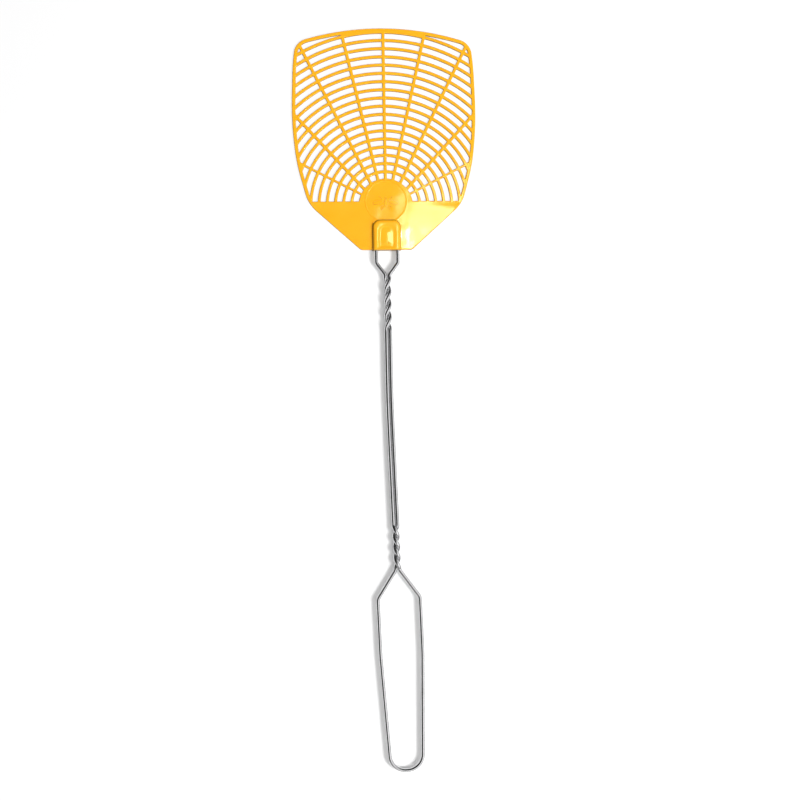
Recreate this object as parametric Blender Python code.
"""Hand fly swatter: a moulded fan-net head on a handle bent from one steel wire.

The swatter lies on its back. +Z is the front of the head, +Y points from the hand loop
to the head, and X runs across it. The origin is the middle of the bounding box, on the
plane that the back lies on. Sizes are in millimetres, and heights along the object are
taken from the fan centre, the point that the net's arcs are struck from.
"""
import math

import bmesh
import bpy
from mathutils import Vector

# --- Driving dimensions, millimetres ---------------------------------------------------

METRES = 0.001              # one millimetre in Blender's unit
ARC_ERROR = 0.1             # how far a straight facet may stray from a true arc
OVERRUN = 1.0               # how far a cutter passes the face that it cuts
HOLE_SIDES = 12             # flats round a prong hole
TWIST_STEPS = 6             # wire stations in each half turn of a twist
BEND_STEPS = 4              # wire stations round the shank's slight bend

# Head outline: corner positions before rounding, and their rounding radii
HEAD_WIDTH = 115.6          # across the widest corners
FOOT_Y = -27.3              # flat lower edge
FOOT_LEDGE = 7.0            # flat edge left on each side of the socket
FOOT_RADIUS = 4.0
SHOULDER_INSET = 9.5        # where the sloping lower edges meet the sides
SHOULDER_Y = 1.5
SHOULDER_RADIUS = 22.0
LOWER_SIDE_INSET = 2.8
LOWER_SIDE_Y = 26.0
LOWER_SIDE_RADIUS = 110.0
WIDEST_Y = 52.0
WIDEST_RADIUS = 210.0
UPPER_SIDE_INSET = 1.3
UPPER_SIDE_Y = 86.0
UPPER_SIDE_RADIUS = 150.0
TOP_CORNER_INSET = 3.1
TOP_CORNER_Y = 101.1
TOP_CORNER_RADIUS = 10.0
CROWN_SLOPE = 0.29          # rise of the top edge where it leaves the corner

# Head sheet and net
SHEET = 1.5                 # thickness of the web and the ribs
RIM = 2.2                   # width of the border round the net
WEB_TOP_Y = 3.0             # lower edge of the net
HUB_RADIUS = 17.1           # solid disc inside the innermost slots
FIRST_SLOT = 3.35           # from the hub to the innermost arc rib
ARC_PITCH = 5.07            # from one arc rib to the next
ARC_RIB = 1.9               # width of an arc rib
RAY_RIB = 1.9               # width of a radial rib
OUTER_RAY_RIB = 1.4         # width of the two lowest radial ribs
RAYS = ((0.0, 0.0), (13.2, -3.6), (26.7, -4.2), (42.8, -3.8), (63.0, -0.3))
# Each radial rib's angle from the head's axis, in degrees, and the height where its line
# meets the axis. All but the first come in pairs, one on each side.

# Raised ring on the hub
RING_MARGIN = 4.1           # from the hub's edge in to the middle of the ring
RING_WIDTH = 1.0
RING_RAISE = 0.3
RING_Y = 2.9

# Socket on the front of the web
PRONG_HOLE_DEPTH = 17.0
SOCKET_WALL = 1.05          # plastic in front of a prong's hole
SOCKET_SIDE_WALL = 0.75
SOCKET_END_WALL = 2.4
SOCKET_RADIUS = 5.0
SOCKET_CHAMFER = 0.9
SOCKET_PROUD = 0.5          # mouth past the lower edge of the web
CORE_WALL = 1.2             # plastic left round the hollow in the socket's back
CORE_FOOT = 4.2             # from the mouth to that hollow

# Wire handle
WIRE = 2.5                  # diameter
WIRE_GAP = 0.3              # between the wire and the head
STRAND_GAP = 0.1            # between the two strands where they lie together
TWIST_LIFT = 0.05           # from the plane that the back lies on up to the twists
HALF_TURNS = 4              # in each twist
TWIST_EASE = 0.0625         # share of a twist over which it winds up, and again runs out
PRONG_SPACING = 13.4        # between the middles of the prongs
PRONG_SHOWING = 7.8         # from the socket's mouth to where the prongs turn inwards
PRONG_BEND_RADIUS = 3.0
FORK_LENGTH = 7.2           # from there to the upper twist
UPPER_HALF_TURN = 8.25      # length of each half turn
SHANK_LENGTH = 121.7        # between the two twists
LOWER_HALF_TURN = 6.8
SPREAD_LENGTH = 17.9        # from the lower twist to the loop's shoulders
SHOULDER_BEND_RADIUS = 5.0
LOOP_LENGTH = 110.2         # from the shoulders to the middle of the wire at the end
LOOP_WIDTH = 26.8           # between the middles of the wire at the shoulders
LOOP_END_WIDTH = 20.4       # the same, across the corners of the end
LOOP_STRAIGHT = 35.4        # from the shoulders to where the sides start to close in
LOOP_TAPER_RADIUS = 150.0
BEND_BELOW = 22.0           # from the upper twist to the shank's slight sideways bend
BEND_LENGTH = 40.0
BEND_ANGLE = 1.75           # degrees

# --- Sizes that follow ------------------------------------------------------------------

WIRE_RADIUS = WIRE / 2
STRAND_OFFSET = (WIRE + STRAND_GAP) / 2
PRONG_HOLE_RADIUS = WIRE_RADIUS + WIRE_GAP
WIRE_Z = TWIST_LIFT + STRAND_OFFSET + WIRE_RADIUS

SOCKET_HEIGHT = WIRE_Z + PRONG_HOLE_RADIUS + SOCKET_WALL
SOCKET_WIDTH = PRONG_SPACING + 2 * (PRONG_HOLE_RADIUS + SOCKET_SIDE_WALL)
SOCKET_LENGTH = PRONG_HOLE_DEPTH + SOCKET_END_WALL
FOOT_WIDTH = SOCKET_WIDTH + 2 * FOOT_LEDGE
MOUTH_Y = FOOT_Y - SOCKET_PROUD
FIRST_ARC = HUB_RADIUS + FIRST_SLOT + ARC_RIB / 2
RING_RADIUS = HUB_RADIUS - RING_MARGIN

FORK_Y = MOUTH_Y - PRONG_SHOWING
UPPER_TWIST_Y = FORK_Y - FORK_LENGTH
SHANK_Y = UPPER_TWIST_Y - HALF_TURNS * UPPER_HALF_TURN / (1 - TWIST_EASE)
BEND_Y = SHANK_Y - BEND_BELOW
LOWER_TWIST_Y = SHANK_Y - SHANK_LENGTH
SPREAD_Y = LOWER_TWIST_Y - HALF_TURNS * LOWER_HALF_TURN / (1 - TWIST_EASE)
LOOP_SHOULDER_Y = SPREAD_Y - SPREAD_LENGTH
LOOP_TAPER_Y = LOOP_SHOULDER_Y - LOOP_STRAIGHT
LOOP_END_Y = LOOP_SHOULDER_Y - LOOP_LENGTH


# --- Outlines ---------------------------------------------------------------------------

def arc_steps(radius, angle):
    """Facets that keep an arc of this radius and angle within ARC_ERROR."""
    step = 2 * math.acos(max(1 - ARC_ERROR / radius, 0.5))
    return max(int(math.ceil(abs(angle) / step)), 2)


def round_corners(corners, closed=True):
    """Points of a path through (x, y, radius) corners, each turned into an arc."""
    points = []
    count = len(corners)
    for index, (x, y, radius) in enumerate(corners):
        here = Vector((x, y))
        if radius == 0 or (not closed and index in (0, count - 1)):
            points.append(here)
            continue
        back = (Vector(corners[index - 1][:2]) - here).normalized()
        ahead = (Vector(corners[(index + 1) % count][:2]) - here).normalized()
        turn = math.pi - back.angle(ahead)
        reach = radius * math.tan(turn / 2)
        centre = here + (back + ahead).normalized() * radius / math.cos(turn / 2)
        start = here + back * reach - centre
        side = math.copysign(1.0, back.x * ahead.y - back.y * ahead.x)
        steps = arc_steps(radius, turn)
        for step in range(steps + 1):
            angle = -side * turn * step / steps
            points.append(centre + Vector((
                start.x * math.cos(angle) - start.y * math.sin(angle),
                start.x * math.sin(angle) + start.y * math.cos(angle))))
    return points


def head_outline():
    """The head's edge, anticlockwise from the right end of its flat foot."""
    half = HEAD_WIDTH / 2
    corner_x = half - TOP_CORNER_INSET
    crown_angle = math.atan(CROWN_SLOPE)
    side_angle = math.atan((TOP_CORNER_INSET - UPPER_SIDE_INSET) / (TOP_CORNER_Y - UPPER_SIDE_Y))
    corner_turn = math.pi / 2 - side_angle - crown_angle
    corner_reach = TOP_CORNER_RADIUS * math.tan(corner_turn / 2)
    crown_radius = (corner_x / math.cos(crown_angle) - corner_reach) / CROWN_SLOPE
    right = [
        (FOOT_WIDTH / 2, FOOT_Y, FOOT_RADIUS),
        (half - SHOULDER_INSET, SHOULDER_Y, SHOULDER_RADIUS),
        (half - LOWER_SIDE_INSET, LOWER_SIDE_Y, LOWER_SIDE_RADIUS),
        (half, WIDEST_Y, WIDEST_RADIUS),
        (half - UPPER_SIDE_INSET, UPPER_SIDE_Y, UPPER_SIDE_RADIUS),
        (corner_x, TOP_CORNER_Y, TOP_CORNER_RADIUS),
    ]
    crown = [(0.0, TOP_CORNER_Y + corner_x * CROWN_SLOPE, crown_radius)]
    left = [(-x, y, radius) for x, y, radius in reversed(right)]
    return round_corners(right + crown + left)


def rim_inside(outline):
    """The outline moved inwards by the border's width."""
    points = []
    for index, here in enumerate(outline):
        along = outline[(index + 1) % len(outline)] - outline[index - 1]
        inward = Vector((-along.y, along.x)).normalized()
        points.append(here + inward * RIM)
    return points


def net_window(outline):
    """The area that the net's slots may fill: inside the rim and above the web."""
    inside = rim_inside(outline)
    above = [point for point in inside if point.y > WEB_TOP_Y]
    start = inside.index(above[0])
    below = inside[start - 1]
    share = (WEB_TOP_Y - below.y) / (above[0].y - below.y)
    half = below.x + share * (above[0].x - below.x)
    return above + [Vector((-half, WEB_TOP_Y)), Vector((half, WEB_TOP_Y))]


# --- The object's place in the world ------------------------------------------------------

OUTLINE = head_outline()
FAN_Y = -(max(point.y for point in OUTLINE) + LOOP_END_Y - WIRE_RADIUS) / 2


def place(x, y, z):
    """A point given from the fan centre in millimetres, as a world point in metres."""
    return Vector((x, y + FAN_Y, z)) * METRES


def material(name, colour, roughness, metallic):
    made = bpy.data.materials.new(name)
    made.use_nodes = True
    shader = made.node_tree.nodes["Principled BSDF"]
    shader.inputs["Base Color"].default_value = (*colour, 1.0)
    shader.inputs["Roughness"].default_value = roughness
    shader.inputs["Metallic"].default_value = metallic
    made.diffuse_color = (*colour, 1.0)
    return made


def mesh_object(name, bm):
    bmesh.ops.recalc_face_normals(bm, faces=bm.faces)
    mesh = bpy.data.meshes.new(name)
    bm.to_mesh(mesh)
    bm.free()
    made = bpy.data.objects.new(name, mesh)
    bpy.context.scene.collection.objects.link(made)
    return made


def add_prism(bm, loops):
    """A closed solid through stacked loops of (x, y, z) points, lowest loop first."""
    rings = [[bm.verts.new(place(*point)) for point in loop] for loop in loops]
    bm.faces.new(list(reversed(rings[0])))
    bm.faces.new(rings[-1])
    for lower, upper in zip(rings, rings[1:]):
        for index in range(len(lower)):
            following = (index + 1) % len(lower)
            bm.faces.new((lower[index], lower[following], upper[following], upper[index]))


def flat_loop(points, z):
    return [(point[0], point[1], z) for point in points]


def slab(name, points, bottom, top):
    bm = bmesh.new()
    add_prism(bm, [flat_loop(points, bottom), flat_loop(points, top)])
    return mesh_object(name, bm)


def helper(made):
    """Keep a cutter or a pattern out of the finished part."""
    made.hide_render = True
    made.display_type = "WIRE"
    return made


def combine(target, operation, other):
    step = target.modifiers.new(f"{operation.lower()} {other.name}", "BOOLEAN")
    step.operation = operation
    step.object = other
    step.solver = "EXACT"


# --- Swatter head -------------------------------------------------------------------------

def arc_points(radius, start, end):
    """Points on an arc about the fan centre; angles are measured from +Y towards +X."""
    steps = arc_steps(radius, end - start)
    return [Vector((radius * math.sin(start + (end - start) * step / steps),
                    radius * math.cos(start + (end - start) * step / steps)))
            for step in range(steps + 1)]


def arc_count():
    """How many arc ribs it takes to reach the net's far corners."""
    reach = max(point.length for point in net_window(OUTLINE))
    return int((reach - FIRST_ARC) / ARC_PITCH) + 1


def slot_rings():
    """Half rings between neighbouring arc ribs, and between the first one and the hub."""
    bm = bmesh.new()
    half_turn = math.pi / 2
    inner_edges = [HUB_RADIUS] + [FIRST_ARC + ARC_PITCH * number + ARC_RIB / 2
                                  for number in range(arc_count())]
    outer_edges = [FIRST_ARC + ARC_PITCH * number - ARC_RIB / 2
                   for number in range(arc_count() + 1)]
    for inner, outer in zip(inner_edges, outer_edges):
        points = (arc_points(inner, -half_turn, half_turn)
                  + list(reversed(arc_points(outer, -half_turn, half_turn))))
        points.reverse()
        add_prism(bm, [flat_loop(points, -OVERRUN), flat_loop(points, SHEET + OVERRUN)])
    return helper(mesh_object("slot_rings", bm))


def ray_bars():
    """Radial bars, taller than the slots, that stay solid across the net."""
    bm = bmesh.new()
    length = FIRST_ARC + ARC_PITCH * (arc_count() + 1)
    for number, (degrees, origin_y) in enumerate(RAYS):
        last = number == len(RAYS) - 1
        half = (OUTER_RAY_RIB if last else RAY_RIB) / 2
        for side in ((1,) if degrees == 0 else (1, -1)):
            angle = math.radians(degrees) * side
            along = Vector((math.sin(angle), math.cos(angle)))
            across = Vector((along.y, -along.x)) * half
            start = Vector((0.0, origin_y)) + along * (HUB_RADIUS - 2 * OVERRUN)
            end = start + along * length
            corners = [start - across, start + across, end + across, end - across]
            add_prism(bm, [flat_loop(corners, -2 * OVERRUN),
                           flat_loop(corners, SHEET + 2 * OVERRUN)])
    return helper(mesh_object("ray_bars", bm))


def net_slots():
    """Every slot of the net as one set of cutters."""
    slots = slot_rings()
    window = slab("net_window", net_window(OUTLINE), -2 * OVERRUN, SHEET + 2 * OVERRUN)
    combine(slots, "INTERSECT", helper(window))
    combine(slots, "DIFFERENCE", ray_bars())
    return slots


def hub_ring():
    """The raised ring on the hub, sunk into the sheet so that the two join."""
    bm = bmesh.new()
    steps = arc_steps(RING_RADIUS, 2 * math.pi)
    outer = RING_RADIUS + RING_WIDTH / 2
    inner = RING_RADIUS - RING_WIDTH / 2
    low = SHEET / 2
    high = SHEET + RING_RAISE
    rings = [[bm.verts.new(place(radius * math.cos(angle), RING_Y + radius * math.sin(angle), z))
              for angle in (2 * math.pi * step / steps for step in range(steps))]
             for radius, z in ((outer, low), (outer, high), (inner, high), (inner, low))]
    for one, other in zip(rings, rings[1:] + rings[:1]):
        for index in range(steps):
            following = (index + 1) % steps
            bm.faces.new((one[index], one[following], other[following], other[index]))
    return helper(mesh_object("hub_ring", bm))


def socket_loop(inset):
    """The socket's outline: square at the mouth and rounded at its far end."""
    half = SOCKET_WIDTH / 2 - inset
    top = MOUTH_Y + SOCKET_LENGTH - inset
    radius = SOCKET_RADIUS - inset
    return round_corners([(-half, MOUTH_Y, 0), (half, MOUTH_Y, 0),
                          (half, top, radius), (-half, top, radius)])


def socket():
    bm = bmesh.new()
    add_prism(bm, [flat_loop(socket_loop(0.0), 0.0),
                   flat_loop(socket_loop(0.0), SOCKET_HEIGHT - SOCKET_CHAMFER),
                   flat_loop(socket_loop(SOCKET_CHAMFER), SOCKET_HEIGHT)])
    return helper(mesh_object("socket", bm))


def prong_holes():
    """Two blind holes in the mouth, one for each prong of the wire."""
    bm = bmesh.new()
    corner_radius = PRONG_HOLE_RADIUS / math.cos(math.pi / HOLE_SIDES)
    for middle in (-PRONG_SPACING / 2, PRONG_SPACING / 2):
        mouth, end = [
            [bm.verts.new(place(middle + corner_radius * math.cos(angle), y,
                                WIRE_Z + corner_radius * math.sin(angle)))
             for angle in (2 * math.pi * (side + 0.5) / HOLE_SIDES for side in range(HOLE_SIDES))]
            for y in (MOUTH_Y - OVERRUN, MOUTH_Y + PRONG_HOLE_DEPTH)]
        bm.faces.new(mouth)
        bm.faces.new(end)
        for side in range(HOLE_SIDES):
            following = (side + 1) % HOLE_SIDES
            bm.faces.new((mouth[side], mouth[following], end[following], end[side]))
    return helper(mesh_object("prong_holes", bm))


def socket_core():
    """The hollow in the back of the socket, between the prongs, that keeps its walls even."""
    half = PRONG_SPACING / 2 - PRONG_HOLE_RADIUS - CORE_WALL
    top = MOUTH_Y + SOCKET_LENGTH - CORE_WALL
    foot = MOUTH_Y + CORE_FOOT
    corners = [(-half, foot), (half, foot), (half, top), (-half, top)]
    return helper(slab("socket_core", corners, -OVERRUN, SOCKET_HEIGHT - CORE_WALL))


def swatter_head():
    head = slab("swatter_head", OUTLINE, 0.0, SHEET)
    combine(head, "DIFFERENCE", net_slots())
    combine(head, "UNION", hub_ring())
    combine(head, "UNION", socket())
    combine(head, "DIFFERENCE", prong_holes())
    combine(head, "DIFFERENCE", socket_core())
    head.data.materials.append(material("yellow_plastic", (0.95, 0.47, 0.03), 0.3, 0.0))
    return head


# --- Wire handle --------------------------------------------------------------------------

def spine(y):
    """The middle of the handle at a height y, and its sideways direction there."""
    past = min(max(BEND_Y - y, 0.0), BEND_LENGTH)
    beyond = max(BEND_Y - BEND_LENGTH - y, 0.0)
    slope = math.tan(math.radians(BEND_ANGLE))
    lean = slope * past / BEND_LENGTH
    x = slope * past ** 2 / (2 * BEND_LENGTH) + slope * beyond
    return Vector((x, y)), Vector((1.0, lean)).normalized()


def on_handle(across, y, height=0.0):
    middle, sideways = spine(y)
    point = middle + sideways * across
    return place(point.x, point.y, WIRE_Z + height)


def eased(share):
    """A turn that starts and stops gently: the share of it done at this share of its length."""
    if share < TWIST_EASE:
        return share ** 2 / (2 * TWIST_EASE * (1 - TWIST_EASE))
    if share > 1 - TWIST_EASE:
        return 1 - eased(1 - share)
    return (share - TWIST_EASE / 2) / (1 - TWIST_EASE)


def twist(start_y, end_y, hand):
    """One strand's points down a twist; the other strand is half a turn round from it."""
    steps = HALF_TURNS * TWIST_STEPS
    points = []
    for step in range(steps + 1):
        share = step / steps
        angle = math.pi + hand * HALF_TURNS * math.pi * eased(share)
        points.append((STRAND_OFFSET * math.cos(angle),
                       start_y + share * (end_y - start_y),
                       STRAND_OFFSET * math.sin(angle)))
    return points


def strand():
    """The left strand from its tip in the socket down to the hand loop."""
    tip = MOUTH_Y + PRONG_HOLE_DEPTH - WIRE_GAP
    fork = round_corners([(-PRONG_SPACING / 2, tip, 0),
                          (-PRONG_SPACING / 2, FORK_Y, PRONG_BEND_RADIUS),
                          (-STRAND_OFFSET, UPPER_TWIST_Y, PRONG_BEND_RADIUS),
                          (-STRAND_OFFSET, SHANK_Y, 0)], closed=False)
    points = [(point.x, point.y, 0.0) for point in fork[:-1]]
    points += twist(fork[-2].y, SHANK_Y, 1)[1:]
    points += [(-STRAND_OFFSET, BEND_Y - BEND_LENGTH * step / BEND_STEPS, 0.0)
               for step in range(BEND_STEPS + 1)]
    points += twist(LOWER_TWIST_Y, SPREAD_Y, -1)
    return points


def hand_loop():
    """The loop from the end of the lower twist, down its left side and up its right."""
    half = LOOP_WIDTH / 2
    end = LOOP_END_WIDTH / 2
    left = [(-STRAND_OFFSET, LOWER_TWIST_Y, 0),
            (-STRAND_OFFSET, SPREAD_Y, SHOULDER_BEND_RADIUS),
            (-half, LOOP_SHOULDER_Y, SHOULDER_BEND_RADIUS),
            (-half, LOOP_TAPER_Y, LOOP_TAPER_RADIUS),
            (-end, LOOP_END_Y, end)]
    right = [(-x, y, radius) for x, y, radius in reversed(left)]
    rounded = round_corners(left + right, closed=False)
    return [(point.x, point.y, 0.0) for point in rounded[1:-1]]


def wire_handle():
    loop = hand_loop()
    left = [point for point in strand() if point[1] > loop[0][1]]
    right = [(-across, y, -height) for across, y, height in reversed(left)]
    points = left + loop + right
    curve = bpy.data.curves.new("wire_handle", "CURVE")
    curve.dimensions = "3D"
    curve.bevel_depth = WIRE_RADIUS * METRES
    curve.bevel_resolution = 3
    curve.use_fill_caps = True
    spline = curve.splines.new("POLY")
    spline.points.add(len(points) - 1)
    for point, (across, y, height) in zip(spline.points, points):
        point.co = (*on_handle(across, y, height), 1.0)
    curve.materials.append(material("steel_wire", (0.62, 0.63, 0.65), 0.22, 1.0))
    made = bpy.data.objects.new("wire_handle", curve)
    bpy.context.scene.collection.objects.link(made)
    return made


def main():
    for existing in list(bpy.data.objects):
        bpy.data.objects.remove(existing, do_unlink=True)
    swatter_head()
    wire_handle()


main()
